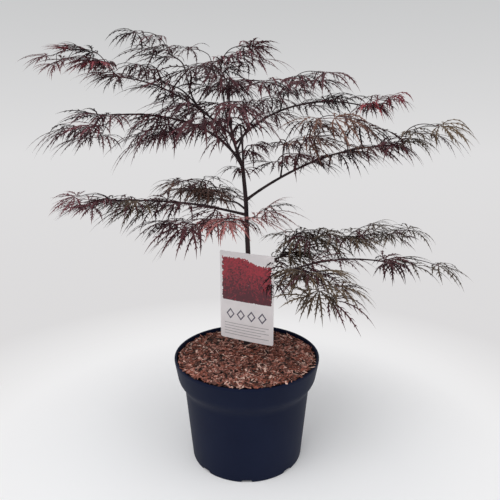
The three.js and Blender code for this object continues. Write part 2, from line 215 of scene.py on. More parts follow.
def bezier(a, b, c, d, count):
    t = np.linspace(0, 1, count)[:, None]
    return (1 - t) ** 3 * a + 3 * (1 - t) ** 2 * t * b + 3 * (1 - t) * t**2 * c + t**3 * d


def tangents(path):
    return unit(np.gradient(path, axis=0))


def around(count):
    """Angles in radians, evenly all the way round."""
    return np.arange(count) * 2 * math.pi / count


def cad_box(node):
    """The lower and the upper corner of a CAD node's box."""
    low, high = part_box(node)
    return np.array(low), np.array(high)


class Surface:
    """Vertices and faces that are gathered from many parts and become one mesh."""

    def __init__(self):
        self.vertices = []
        self.faces = []
        self.count = 0

    def add(self, vertices, faces):
        vertices = np.asarray(vertices, float).reshape(-1, 3)
        self.vertices.append(vertices)
        self.faces.extend((np.asarray(faces) + self.count).tolist())
        self.count += len(vertices)

    def add_rings(self, rings, clockwise=False):
        """A closed body from a row of equal rings, whose points turn one way seen from its end."""
        count, sides = rings.shape[:2]
        start = (np.arange(count - 1) * sides)[:, None] + np.arange(sides)
        turned = np.roll(start, -1, axis=1)
        quads = np.stack([start, turned, turned + sides, start + sides], axis=-1).reshape(-1, 4)
        ends = np.stack([np.arange(sides)[::-1], (count - 1) * sides + np.arange(sides)])
        if clockwise:
            quads, ends = quads[:, [0, 3, 2, 1]], ends[:, ::-1]
        base = self.count
        self.add(rings, quads)
        self.faces.extend((base + ends).tolist())

    def piece(self, name, material, slot, replaced=(), smooth=True):
        mesh = bpy.data.meshes.new(name)
        mesh.from_pydata(np.vstack(self.vertices).tolist(), [], self.faces)
        mesh.validate()
        if smooth:
            mesh.polygons.foreach_set("use_smooth", [True] * len(mesh.polygons))
        mesh.materials.append(material)
        return place(bpy.data.objects.new(name, mesh), replaced)


def place(piece, replaced=()):
    """Adds a piece that rides on the body, with the CAD nodes that it stands in for."""
    bpy.context.scene.collection.objects.link(piece)
    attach(piece, "root")
    if replaced:
        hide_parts(*replaced)
    return piece


def add_tube(surface, path, radii, sides, relief=None):
    """A closed round tube along a path. Relief gives each vertex's share of extra radius."""
    path = np.asarray(path, float)
    along = tangents(path)
    normal = unit(np.cross(along[0], UP if abs(along[0][2]) < 0.9 else [1.0, 0, 0]))
    normals = []
    for tangent in along:
        normal = unit(normal - tangent * np.dot(normal, tangent))
        normals.append(normal)
    normals = np.array(normals)
    binormals = np.cross(along, normals)
    angle = around(sides)
    radius = np.broadcast_to(np.asarray(radii, float), (len(path),))[:, None]
    if relief is not None:
        radius = radius * (1 + relief)
    ring = (normals[:, None] * (np.cos(angle) * radius)[..., None]
            + binormals[:, None] * (np.sin(angle) * radius)[..., None])
    surface.add_rings(path[:, None] + ring)


# ---------------- materials


def principled(name, **sockets):
    material = bpy.data.materials.new(name)
    material.use_nodes = True
    shader = material.node_tree.nodes["Principled BSDF"]
    for socket, value in sockets.items():
        key = socket.replace("_", " ").title().replace("Ior", "IOR")
        shader.inputs[key].default_value = (*value, 1) if isinstance(value, tuple) else value
    return material, shader


def new_node(tree, kind, **inputs):
    """A new shader node with these values on its sockets."""
    node = tree.nodes.new("ShaderNode" + kind)
    for socket, value in inputs.items():
        node.inputs[socket.replace("_", " ").title()].default_value = value
    return node


def object_noise(material, scale, detail=4.0, stretch=(1, 1, 1)):
    tree = material.node_tree
    coordinates = new_node(tree, "TexCoord")
    mapping = new_node(tree, "Mapping", scale=stretch)
    noise = new_node(tree, "TexNoise", scale=scale, detail=detail)
    tree.links.new(coordinates.outputs["Object"], mapping.inputs["Vector"])
    tree.links.new(mapping.outputs["Vector"], noise.inputs["Vector"])
    return noise.outputs["Fac"]


def mottle(material, shader, factor, low, high, start=0.3, end=0.7):
    """Colours from low to high as the factor goes from start to end."""
    ramp = new_node(material.node_tree, "ValToRGB")
    for stop, at, color in zip(ramp.color_ramp.elements, (start, end), (low, high)):
        stop.position = at
        stop.color = (*color, 1)
    material.node_tree.links.new(factor, ramp.inputs["Fac"])
    material.node_tree.links.new(ramp.outputs["Color"], shader.inputs["Base Color"])


def bump(material, shader, height, strength, distance):
    node = new_node(material.node_tree, "Bump", strength=strength, distance=distance)
    material.node_tree.links.new(height, node.inputs["Height"])
    material.node_tree.links.new(node.outputs["Normal"], shader.inputs["Normal"])


def bark_material():
    material, shader = principled("maple_bark", roughness=0.6, specular_ior_level=0.2)
    streaks = object_noise(material, 260, stretch=(1, 1, 0.16))
    mottle(material, shader, streaks, (0.012, 0.008, 0.011), (0.050, 0.028, 0.030))
    bump(material, shader, streaks, 0.5, 0.4 * MM)
    return material


def shaded(material, shader, grain, color, dark, light, start=0.3, end=0.7):
    """Mottles one colour between these shares of its own brightness."""
    low = tuple(np.array(color) * dark)
    high = tuple(np.minimum(np.array(color) * light, 1))
    mottle(material, shader, grain, low, high, start, end)


def leaf_material(name, color):
    """Nearly plain, with a slight unevenness a few leaves across."""
    material, shader = principled(name, roughness=0.55, specular_ior_level=0.12)
    shaded(material, shader, object_noise(material, 45, 3), color, 0.75, 1.3)
    return material


# ---------------- limbs, read from the CAD solids


def node_points(name):
    mesh = NODES[name].data
    points = np.empty(len(mesh.vertices) * 3, np.float32)
    mesh.vertices.foreach_get("co", points)
    return np.unique(points.reshape(-1, 3).astype(float).round(6), axis=0)


def limb_rings(name, gap):
    """The centre and radius of each ring of a CAD limb, from its foot to its tip."""
    points = node_points(name)
    middle = points.mean(0)
    far = points[np.argmax(np.linalg.norm(points - middle, axis=1))]
    other = points[np.argmax(np.linalg.norm(points - far, axis=1))]
    chord = unit(other - far)
    order = np.argsort(points @ chord)
    points = points[order]
    breaks = np.nonzero(np.diff(points @ chord) > gap)[0] + 1
    rings = []
    for ring in np.split(points, breaks):
        if len(ring) < 3:
            continue
        centre = ring.mean(0)
        rings.append([*centre, LIMB_SLIM * np.max(np.linalg.norm(ring - centre, axis=1))])
    return np.array(rings)


def turned_from(wood, rings):
    """The rings in order from the end that is nearer to this wood."""
    first, last = (np.linalg.norm(wood - end[:3], axis=1).min() for end in (rings[0], rings[-1]))
    return rings[::-1] if last < first else rings


def read_limbs():
    """Every limb as a smooth line of place and radius, each from inside its parent to its tip."""
    trunk = turned_from(np.zeros((1, 3)), limb_rings("trunk", 1 * MM))
    limbs = {"trunk": catmull_rom(trunk, LIMB_STEP)}
    names = [n for n in NODES if n == "leader" or "bough" in n or n.startswith("twig")]
    for name in sorted(names, key=limb_rank):
        wood = np.vstack(list(limbs.values()))[:, :3]
        limbs[name] = joined_limb(wood, turned_from(wood, limb_rings(name, 5 * MM)))
    return limbs


def limb_rank(name):
    """Sorts limbs so that each comes after the one that it grows from."""
    return name != "leader", name.startswith("side_"), name.count("_"), name


def joined_limb(wood, rings):
    """A limb's line from inside the wood that it grows from to its tip."""
    start = rings[0, :3]
    back = start - unit(rings[1, :3] - start) * 3 * MM
    foot = wood[np.argmin(np.linalg.norm(wood - back, axis=1))]
    return catmull_rom(np.vstack([[*foot, rings[1, 3]], rings[1:]]), LIMB_STEP)


def bark_relief(length_count, sides, seed, ridge, swell):
    """Shallow ridges along a limb and a slight swelling at each old leaf joint."""
    rng = np.random.default_rng(seed)
    angle = around(sides)
    along = np.arange(length_count)[:, None] * LIMB_STEP
    relief = np.zeros((length_count, sides))
    for waves in (3, 5, 8):
        drift = rng.uniform(-25, 25)
        phase = rng.uniform(0, 6.28)
        fade = np.sin(along * rng.uniform(60, 160) + phase)
        relief += ridge * np.sin(waves * angle + along * drift + phase) * (0.6 + 0.4 * fade)
    joint = np.abs((along + rng.uniform(0, NODE_SPACING)) % NODE_SPACING - NODE_SPACING / 2)
    return relief + swell * np.exp(-((joint / (1.6 * MM)) ** 2))


def add_trunk(bark, line, seed):
    """The trunk, with four low roots that fade out above its foot."""
    relief = bark_relief(len(line), TRUNK_SIDES, seed, 0.03, 0.05)
    height = line[:, 2:3] - line[0, 2]
    relief += 0.10 * np.cos(4 * around(TRUNK_SIDES) + 0.8) * np.exp(-height / (9 * MM))
    add_tube(bark, line[:, :3], line[:, 3], TRUNK_SIDES, relief)


def add_bough(bark, line, seed):
    """A bough or a long twig, with a collar where it starts."""
    relief = bark_relief(len(line), LIMB_SIDES, seed, 0.03, 0.10)
    along = np.arange(len(line)) * LIMB_STEP
    collar = 1 + 0.45 * np.exp(-along / (7 * MM))
    add_tube(bark, line[:, :3], line[:, 3] * collar, LIMB_SIDES, relief)


def make_limbs(limbs):
    """Trunk and boughs as one mesh with the bark's relief."""
    bark = Surface()
    for seed, (name, line) in enumerate(limbs.items()):
        if name == "trunk":
            add_trunk(bark, line, seed)
        else:
            add_bough(bark, line, seed)
    bark.piece("trunk_and_boughs", BARK, "maple_bark", list(limbs))


# ---------------- growth inside the pads


class Pad:
    """A CAD mass of foliage: its own axes, its sizes along them, and its top and bottom heights."""

    def __init__(self, name):
        mesh = NODES[name].data
        self.points = node_points(name)
        faces = [list(p.vertices) for p in mesh.polygons]
        self.tree = BVHTree.FromPolygons([v.co for v in mesh.vertices], faces)
        self.low, self.high = self.points.min(0), self.points.max(0)
        self.centre = (self.low + self.high) / 2
        self.look = SPRAYS.get(name, spray())
        self.measure_columns()

    def measure_columns(self):
        """The top and bottom heights over a grid of the ground, where the pad is."""
        xs = np.arange(self.low[0], self.high[0], COLUMN_STEP)
        ys = np.arange(self.low[1], self.high[1], COLUMN_STEP)
        columns = []
        for x in xs:
            for y in ys:
                above = self.tree.ray_cast(Vector((x, y, 2)), Vector((0, 0, -1)))[0]
                below = self.tree.ray_cast(Vector((x, y, -1)), Vector((0, 0, 1)))[0]
                if above is not None and below is not None:
                    columns.append((x, y, above.z, below.z))
        self.columns = np.array(columns)

    def aim(self, outward):
        """Sets the pad's long axis, pointing outward."""
        flat = self.points[:, :2] - self.centre[:2]
        values, vectors = np.linalg.eigh(flat.T @ flat)
        long_axis = vectors[:, 1] * np.sign(vectors[:, 1] @ outward or 1)
        trust = np.clip((math.sqrt(values[1] / values[0]) - 1.08) / 0.3, 0, 1)
        heading = unit(lerp(unit(outward), long_axis, trust))
        self.ahead = np.array([*heading, 0.0])
        self.aside = np.cross(UP, self.ahead)
        along = (self.points - self.centre) @ self.ahead
        across = (self.points - self.centre) @ self.aside
        self.half_length = (along.max() - along.min()) / 2
        self.half_width = (across.max() - across.min()) / 2
        plan = math.pi * self.half_length * self.half_width
        self.wanted = self.look["fullness"] * plan / (PLAN_PER_LEAF * self.look["size"] ** 2)

    def crest(self, along, across, sink):
        """The place nearest to these shares of the half sizes, this share of the depth down."""
        spot = (self.centre + self.ahead * along * self.half_length
                + self.aside * across * self.half_width)
        nearest = np.argmin(np.linalg.norm(self.columns[:, :2] - spot[:2], axis=1))
        x, y, top, bottom = self.columns[nearest]
        return np.array([x, y, lerp(top, bottom, sink)])

    def targets(self, rng):
        """Places all through the pad, most of them in its upper part."""
        count = TARGETS_PER_PAD
        x, y, top, bottom = self.columns[rng.integers(len(self.columns), size=count)].T
        depth = rng.random(count) ** TARGET_SINK
        jitter = rng.uniform(-0.5, 0.5, (2, count)) * COLUMN_STEP
        return np.stack([x + jitter[0], y + jitter[1], lerp(top, bottom, depth)], axis=1)

    def outside(self, points):
        """How far points are outside the pad, where hanging out below counts less than above."""
        points = np.asarray(points).reshape(-1, 3)
        flat = np.linalg.norm(points[:, None, :2] - self.columns[None, :, :2], axis=2)
        nearest = flat.argmin(1)
        side = np.maximum(flat[np.arange(len(points)), nearest] - COLUMN_STEP, 0)
        above = np.maximum(points[:, 2] - self.columns[nearest, 2], 0)
        below = np.maximum(self.columns[nearest, 3] - points[:, 2], 0)
        return side + ABOVE_WEIGHT * above + BELOW_WEIGHT * below


class Sleeve:
    """The space round the outer part of a bough, which its own leaves fill."""

    def __init__(self, line, bare, leaves):
        self.line = line[int(bare * len(line)):, :3]
        self.leaves = leaves
        self.look = spray()

    def targets(self, rng):
        count = TARGETS_PER_PAD
        at = self.line[rng.integers(len(self.line), size=count)]
        spread = rng.normal(0, 1, (count, 3)) * np.array([0.5, 1, 0.3]) * SLEEVE_RADIUS
        return at + spread - UP * 5 * MM

    def outside(self, points):
        gaps = np.linalg.norm(np.asarray(points).reshape(-1, 1, 3) - self.line[None], axis=2).min(1)
        return np.maximum(gaps - 1.6 * SLEEVE_RADIUS, 0)


def limb_points(limbs):
    """Every point of the limbs, with the tangent there, its radius and its share of the limb."""
    rows = []
    for name, line in limbs.items():
        if name == "trunk":
            line = line[len(line) // 2:]
        share = np.linspace(0, 1, len(line))[:, None]
        rows.append(np.hstack([line[:, :3], tangents(line[:, :3]), line[:, 3:], share]))
    return np.vstack(rows)


def twig_line(start, start_way, end, end_way, radius, end_radius):
    """A curved twig as points of place and radius."""
    ease = np.linalg.norm(end - start) * TWIG_EASE
    path = bezier(start, start + start_way * ease, end - end_way * ease, end, 24)
    path = resample(path, TWIG_STEP)
    radii = np.linspace(radius, end_radius, len(path))
    return np.hstack([path, radii[:, None]])


def leading_twig(pad, wood, rng):
    """The twig from the nearest limb to the pad's far end, as points of place and radius."""
    inner_end = pad.crest(-0.9, 0, 0.3)
    cost = np.linalg.norm(wood[:, :3] - inner_end, axis=1) - 8 * MM * wood[:, 7]
    root = wood[np.argmin(cost)]
    start, way, radius = root[:3], root[3:6], min(root[6] * 0.85, TWIG_THICKEST)
    sink = pad.look["sink"]
    last = max((pad.half_length - LEAF_REACH * pad.look["size"]) / pad.half_length, -0.5)
    tip = pad.crest(last, rng.uniform(-0.15, 0.15), sink)
    middle = pad.crest(lerp(-1, last, 0.45), rng.uniform(-0.15, 0.15), sink * 0.8)
    out_way = unit(0.6 * way + unit(middle - start))
    onward = unit(tip - start)
    first = twig_line(start, out_way, middle, onward, radius, radius * 0.8)
    fall = unit(pad.ahead - 0.35 * UP)
    second = twig_line(middle, onward, tip, fall, radius * 0.8, 0.5 * MM)
    return np.vstack([first, second[1:]])


def side_twig(pad, leader, station, side, spare, rng):
    """A twig that leaves the leader at a station, for one side of the pad."""
    at = leader[station, :3]
    along = np.dot(at - pad.centre, pad.ahead)
    reach = spare * rng.uniform(0.75, 1.1)
    deep = lerp(pad.look["sink"], 1, rng.uniform(0, 0.55))
    target = pad.crest((along + reach * 1.1) / pad.half_length, side * reach / pad.half_width, deep)
    leave = unit(tangents(leader[:, :3])[station] + 0.9 * side * pad.aside + 0.1 * UP)
    arrive = unit(pad.ahead * 0.5 + side * pad.aside - 0.4 * UP)
    return twig_line(at, leave, target, arrive, leader[station, 3] * 0.75, 0.45 * MM)


def grow_twigs(pad, wood, rng):
    """The pad's leading twig, and side twigs by turns to both sides where the pad is wide."""
    leader = leading_twig(pad, wood, rng)
    twigs = [leader]
    spare = pad.half_width - 0.55 * LEAF_REACH * pad.look["size"]
    inside = np.nonzero(pad.outside(leader[:, :3]) < 6 * MM)[0]
    if spare < 8 * MM or len(inside) < 4:
        return twigs
    side = rng.choice([-1, 1])
    count = int(max(round(pad.wanted / LEAVES_PER_TWIG), 1)) - 1
    for share in (np.arange(count) + rng.uniform(0.1, 0.6, count)) / max(count, 1):
        station = int(lerp(inside[0], inside[-1], share))
        twigs.append(side_twig(pad, leader, station, side, spare, rng))
        side = -side
    return twigs


def leaf_choices(places, ways, sides, look, rng):
    """One way that a leaf could grow from each of these places, as arrays."""
    count = len(places)
    level = unit(ways * np.array([1, 1, 0]) + 1e-6)
    turn = np.radians(sides * rng.uniform(5, look["fan"], count))[:, None]
    heading = level * np.cos(turn) + np.cross(UP, level) * np.sin(turn)
    lift = np.radians(rng.normal(look["lift"] + LEAF_LIFT[0], LEAF_LIFT[1], count))[:, None]
    stalk_way = heading * np.cos(lift) + UP * np.sin(lift)
    stalk = look["size"] * rng.uniform(*STALK_LENGTH, (count, 1))
    axis = unit(stalk_way - UP * rng.uniform(0.1, 0.3, (count, 1)))
    level_across = unit(np.cross(UP, axis))
    roll = np.radians(rng.normal(0, LEAF_ROLL, count))[:, None]
    across = level_across * np.cos(roll) + np.cross(axis, level_across) * np.sin(roll)
    up = np.cross(axis, across)
    return {
        "node": places,
        "stalk_way": stalk_way,
        "foot": places + stalk_way * stalk - UP * stalk * 0.15,
        "axis": axis,
        "up": up,
        **lobe_choices(axis, across, up, look, rng),
    }


def lobe_choices(axis, across, up, look, rng):
    """The ways, lengths, droops and sways of the leaves' lobes. The middle lobe comes first."""
    angles = np.radians(np.outer(LOBE_ANGLES, (-1, 1)).ravel()[1:])
    shares = np.repeat(LOBE_LENGTHS, 2)[1:]
    shape = (len(axis), len(angles))
    turns = (angles + rng.normal(0, 0.1, shape))[..., None]
    spread = axis[:, None] * np.cos(turns) + across[:, None] * np.sin(turns)
    ways = unit(spread + up[:, None] * rng.normal(0.05, 0.13, (*shape, 1)))
    sizes = look["size"] * rng.uniform(*LEAF_LENGTH, (len(axis), 1))
    lengths = sizes * shares * rng.uniform(0.84, 1.1, shape)
    droops = look["droop"] * rng.uniform(*LOBE_DROOP, (len(axis), 1)) * rng.uniform(0.7, 1.35, shape)
    sways = LOBE_SWEEP * axis[:, None] + rng.normal(0, 0.16, (*shape, 1)) * across[:, None]
    return {"ways": ways, "lengths": lengths, "droops": droops, "sways": sways}


def lobe_lines(leaves, steps):
    """The ribs of the leaves' lobes: the places along each, and which way it runs there."""
    shares = ((np.arange(steps) + 0.5) / steps)[:, None]
    bend = shares**DROOP_POWER * leaves["droops"][..., None, None]
    ways = unit(leaves["ways"][..., None, :] - UP * bend + shares * leaves["sways"][..., None, :])
    strides = ways * leaves["lengths"][..., None, None] / steps
    start = np.zeros(strides.shape[:-2] + (1, 3))
    places = np.cumsum(np.concatenate([start, strides], axis=-2), axis=-2)
    ways = np.concatenate([ways, ways[..., -1:, :]], axis=-2)
    return places + leaves["foot"][..., None, None, :], ways


def over_label(points):
    """Which points are in front of the label, where no leaf may hide it."""
    low, high = cad_box("label_card")
    low -= np.array([6 * MM, LABEL_CLEARANCE, 0])
    high += np.array([6 * MM, 0, 8 * MM])
    return np.all((points > low) & (points < high), axis=-1)


class Filler:
    """Grows leaves one by one, each the best of some tries: the one that fills most of the space that
    is still empty and strays least from it."""

    def __init__(self, space, rng):
        self.space = space
        self.rng = rng
        self.targets = space.targets(rng)
        self.filled = np.zeros(len(self.targets))
        self.leaves = []

    def grow(self, joints, side=None):
        """One leaf, at the best of these joints. Returns which joint and which side it took."""
        picks = self.rng.integers(len(joints), size=TRIES_PER_LEAF)
        places, ways = joints[picks, :3], joints[picks, 3:6]
        if side is None:
            sides = self.rng.choice([-1, 1], TRIES_PER_LEAF)
        else:
            sides = np.full(TRIES_PER_LEAF, side)
        tries = leaf_choices(places, ways, sides, self.space.look, self.rng)
        points = lobe_lines(tries, 5)[0][..., 1:, :].reshape(TRIES_PER_LEAF, -1, 3)
        gaps = np.linalg.norm(self.targets[None, :, None] - points[:, None], axis=3).min(2)
        near = np.exp(-((gaps / TARGET_REACH) ** 2))
        fill = np.maximum(self.filled, near)
        spill = self.space.outside(points).reshape(TRIES_PER_LEAF, -1).mean(1) / (10 * MM)
        spill += over_label(points).mean(1)
        crowded = np.minimum(self.filled, near).sum(1)
        best = np.argmax((fill - self.filled).sum(1) - CROWDING_COST * crowded - SPILL_COST * spill)
        self.filled = fill[best]
        self.leaves.append({key: value[best] for key, value in tries.items()})
        return picks[best], sides[best]

    def grow_pair(self, joints):
        """A leaf at the best joint and its partner across the twig. Returns the joints that are left."""
        pick, side = self.grow(joints)
        self.grow(joints[pick:pick + 1], -side)
        return joints[np.linalg.norm(joints[:, :3] - joints[pick, :3], axis=1) > JOINT_GAP]


def grow_leaves(space, tips, joints, wanted, rng):
    """A pair of leaves at each tip, then pairs at the best joints until there are enough."""
    filler = Filler(space, rng)
    for tip in tips:
        filler.grow_pair(tip[None])
        joints = joints[np.linalg.norm(joints[:, :3] - tip[:3], axis=1) > JOINT_GAP]
    while len(filler.leaves) < wanted and len(joints):
        joints = filler.grow_pair(joints)
    return filler.leaves


def pad_leaves(pad, twigs, wood, rng):
    """The leaves of a pad's twigs and of the limbs that pass through it."""
    lines = [np.hstack([twig[:, :3], tangents(twig[:, :3])]) for twig in twigs]
    joints = np.vstack([line[2:-2] for line in lines] + [wood[wood[:, 7] > 0.45][:, :6]])
    joints = joints[pad.outside(joints[:, :3]) < 8 * MM]
    return grow_leaves(pad, [line[-1] for line in lines], joints, pad.wanted, rng)


def bough_leaves(sleeve, rng):
    joints = np.hstack([sleeve.line, tangents(sleeve.line)])
    return grow_leaves(sleeve, [joints[-1]], joints, sleeve.leaves, rng)


# ---------------- leaf meshes


def blade_half_width(t):
    return BLADE_WIDTH * (0.32 + 0.68 * np.sin(math.pi * np.clip(t, 0, 1) ** 0.8)) * (1 - t**6)


def barb_reach(t):
    return np.clip((t - 0.06) / 0.24, 0, 1) ** 0.8 * np.clip((0.86 - t) / 0.46, 0, 1) ** 0.9


class Lobes:
    """The ribs of all the lobes of some leaves, with the blade's axes along each."""

    def __init__(self, leaves):
        leaves = {key: np.array([leaf[key] for leaf in leaves]) for key in leaves[0]}
        lines = lobe_lines(leaves, LOBE_STEPS)
        self.places, self.ways = (rows.reshape(-1, LOBE_STEPS + 1, 3) for rows in lines)
        self.lengths = leaves["lengths"].reshape(-1, 1)
        self.count = len(self.places)
        up = np.repeat(leaves["up"], leaves["ways"].shape[1], axis=0)[:, None]
        self.up = unit(up - self.ways * np.sum(up * self.ways, axis=-1, keepdims=True))
        self.across = np.cross(self.ways, self.up)


def add_leaves(surface, leaves, rng):
    lobes = Lobes(leaves)
    add_blades(surface, lobes)
    for pair in range(BARB_PAIRS):
        for side in (-1, 1):
            share = (pair + 0.7 + 0.125 * side) / (BARB_PAIRS + 0.6) * BARB_SPAN
            add_barbs(surface, lobes, share, side, rng)


def add_blades(surface, lobes):
    """The narrow blade of each lobe, in two halves that rise a little from its rib."""
    stations = LOBE_STEPS + 1
    widths = blade_half_width(np.linspace(0, 1, stations))
    half = widths[None, :, None] * (lobes.lengths / TYPICAL_LOBE)[:, None] ** 0.5
    left = lobes.places + lobes.across * half + lobes.up * half * 0.35
    right = lobes.places - lobes.across * half + lobes.up * half * 0.35
    rows = np.stack([left, lobes.places, right], axis=2)
    index = (np.arange(lobes.count)[:, None] * stations + np.arange(LOBE_STEPS)) * 3
    index = index.reshape(-1, 1)
    faces = np.vstack([index + np.array([0, 1, 4, 3]), index + np.array([1, 2, 5, 4])])
    surface.add(rows.reshape(-1, 3), faces)


def add_barbs(surface, lobes, share, side, rng):
    """A pointed tooth on each lobe, near this share of its length, that leans towards its tip."""
    rows = np.arange(lobes.count)
    t = share + rng.uniform(-0.02, 0.02, lobes.count)
    spot = t * LOBE_STEPS
    low = np.clip(spot.astype(int), 0, LOBE_STEPS - 1)
    base = lerp(lobes.places[rows, low], lobes.places[rows, low + 1], (spot - low)[:, None])
    way, out, up = lobes.ways[rows, low], lobes.across[rows, low] * side, lobes.up[rows, low]
    lean = np.radians(rng.uniform(*BARB_LEAN, lobes.count))[:, None]
    barb_way = way * np.cos(lean) + out * np.sin(lean)
    reach = (BARB_LENGTH * barb_reach(t) * rng.uniform(0.7, 1.15, lobes.count))[:, None]
    reach = reach * (lobes.lengths / TYPICAL_LOBE)
    width = np.minimum(1.5 * MM, 0.2 * reach + 0.3 * MM)
    mid = base + barb_way * reach * 0.5 + up * reach * 0.05
    tip = base + unit(barb_way + way * 0.35) * reach - UP * reach * 0.12
    wing = unit(np.cross(up, barb_way)) * width * 0.5
    corners = [base - way * width, base + way * width, mid + wing, mid - wing, tip]
    back, front = (0, 1) if side > 0 else (1, 0)
    faces = np.array([[back, front, 2], [back, 2, 3], [3, 2, 4]])
    first = (rows * 5)[:, None, None]
    surface.add(np.stack(corners, axis=1).reshape(-1, 3), (first + faces).reshape(-1, 3))


def add_stalk(surface, leaf):
    """A thin stalk that bends from the twig into the leaf's axis."""
    bend = leaf["node"] + leaf["stalk_way"] * np.linalg.norm(leaf["foot"] - leaf["node"]) * 0.6
    path = bezier(leaf["node"], bend, leaf["foot"] - leaf["axis"] * 3 * MM, leaf["foot"], 7)
    add_tube(surface, path, np.linspace(0.55, 0.4, len(path)) * MM, 5)


def aimed_pad(name, wood):
    """A pad that points away from the crown's middle, or along its limb where it is in the middle."""
    pad = Pad(name)
    outward = pad.centre[:2] - CROWN_MIDDLE
    if np.linalg.norm(outward) < 20 * MM:
        outward = wood[np.argmin(np.linalg.norm(wood[:, :3] - pad.centre, axis=1)), 3:5]
    pad.aim(outward)
    return pad


def grow_sprays(limbs, pad_names, rng):
    """The tint and the leaves of each spray, and all the twigs as one surface."""
    wood = limb_points(limbs)
    twig_surface = Surface()
    sprays = []
    for name in pad_names:
        pad = aimed_pad(name, wood)
        twigs = grow_twigs(pad, wood, rng)
        for twig in twigs:
            add_tube(twig_surface, twig[:, :3], twig[:, 3], TWIG_SIDES)
        sprays.append((pad.look["tint"], pad_leaves(pad, twigs, wood, rng)))
    for name, bough in LEAFY_BOUGHS.items():
        sleeve = Sleeve(limbs[name], bough["bare"], bough["leaves"])
        sprays.append((sleeve.look["tint"], bough_leaves(sleeve, rng)))
    return sprays, twig_surface


def make_foliage(limbs):
    """Twigs, leaf stalks, and the leaves as one piece for each tint and shade."""
    rng = np.random.default_rng(FOLIAGE_SEED)
    pad_names = sorted(n for n in NODES if n.startswith("pad_"))
    sprays, twig_surface = grow_sprays(limbs, pad_names, rng)
    stalk_surface = Surface()
    groups = {}
    for spray_tint, leaves in sprays:
        for leaf in leaves:
            add_stalk(stalk_surface, leaf)
            tint = "plum" if rng.random() < TINT_BLEND else spray_tint
            groups.setdefault((tint, int(rng.integers(2))), []).append(leaf)
    twig_surface.piece("twigs", BARK, "maple_bark", pad_names)
    stalks = leaf_material("leaf_stalks", TINTS["wine"][0])
    stalk_surface.piece("leaf_stalks", stalks, "maple_foliage")
    for (tint, shade), leaves in sorted(groups.items()):
        surface = Surface()
        add_leaves(surface, leaves, rng)
        name = f"leaves_{tint}_{('dark', 'light')[shade]}"
        surface.piece(name, leaf_material(name, TINTS[tint][shade]), "maple_foliage")


# ---------------- pot

POT_SIDES = 192
POT_FOOT_RADIUS = 90 * MM
POT_BODY_TOP_RADIUS = 100.5 * MM
POT_BAND_FOOT_RADIUS = 110 * MM
POT_BAND_HEIGHT = 35.5 * MM
POT_SHOULDER_HEIGHT = 14 * MM
POT_WALL = 2.2 * MM
POT_LIP = 3.6 * MM
POT_FLOOR = 3 * MM
POT_NOTCHES = 8
POT_NOTCH_WIDTH = 15 * MM
POT_NOTCH_HEIGHT = 4 * MM
POT_NOTCH_END = POT_FOOT_RADIUS - 9 * MM  # how far in the notches go
POT_CENTRE_RADIUS = 0.5 * MM
POT_ROUNDING = 6 * MM
POT_DARK = (0.0036, 0.0070, 0.0250)
POT_LIGHT = (0.0054, 0.0098, 0.0310)


def rounded(outline, radius, steps=5):
    """An outline of (r, z) points whose corners are rounded off."""
    outline = [np.array(point, float) for point in outline]
    smooth = [outline[0]]
    for before, corner, after in zip(outline, outline[1:], outline[2:]):
        cut = min(radius, np.linalg.norm(before - corner) / 2.5, np.linalg.norm(after - corner) / 2.5)
        start = corner + unit(before - corner) * cut
        end = corner + unit(after - corner) * cut
        for t in np.linspace(0, 1, steps):
            smooth.append(lerp(lerp(start, corner, t), lerp(corner, end, t), t))
    return np.array(smooth + [outline[-1]])


def lathe(outline, sides):
    """The rings of points of an outline that is turned round the Z axis."""
    angle = around(sides)
    r, z = outline[:, 0, None], outline[:, 1, None]
    return np.stack([r * np.cos(angle), r * np.sin(angle), z + 0 * angle], axis=-1)


def pot_outline():
    """The pot's section, from the middle of its underside over the rim to the middle of its floor."""
    _, (rim, _, height) = cad_box("pot")
    band_foot = height - POT_BAND_HEIGHT
    body_top = band_foot - POT_SHOULDER_HEIGHT
    slope = (POT_BODY_TOP_RADIUS - POT_FOOT_RADIUS) / body_top
    body = [(POT_FOOT_RADIUS + slope * z, z)
            for z in (POT_NOTCH_HEIGHT, POT_NOTCH_HEIGHT * 1.5, body_top / 2, body_top)]
    return rounded([
        (POT_CENTRE_RADIUS, 0), (POT_NOTCH_END, 0), (POT_NOTCH_END + 0.6 * MM, 0), (POT_FOOT_RADIUS, 0),
        *body, (POT_BAND_FOOT_RADIUS, band_foot), (rim - 0.2 * MM, height - 5 * MM),
        (rim, height - 4 * MM), (rim, height), (rim - POT_LIP, height),
        (rim - POT_LIP, height - 6 * MM), (POT_BAND_FOOT_RADIUS - POT_WALL, band_foot + MM),
        (POT_BODY_TOP_RADIUS - POT_WALL, body_top), (POT_FOOT_RADIUS - POT_WALL, POT_FLOOR),
        (POT_CENTRE_RADIUS, POT_FLOOR),
    ], POT_ROUNDING)


def cut_notches(rings, outline):
    """Raises the edge of the foot, at even places round it, into drainage notches."""
    turn = 2 * math.pi / POT_NOTCHES
    off = np.abs((around(POT_SIDES) + turn / 2) % turn - turn / 2) * POT_FOOT_RADIUS
    notch = POT_NOTCH_HEIGHT * np.clip((POT_NOTCH_WIDTH / 2 - off) / (1.5 * MM) + 0.5, 0, 1)
    outer = np.arange(len(outline))[:, None] < len(outline) // 2
    radius, height = outline[:, 0, None], outline[:, 1, None]
    in_notch = outer & (radius > POT_NOTCH_END) & (height < POT_NOTCH_HEIGHT)
    rings[..., 2] = np.where(in_notch, np.maximum(rings[..., 2], notch), rings[..., 2])


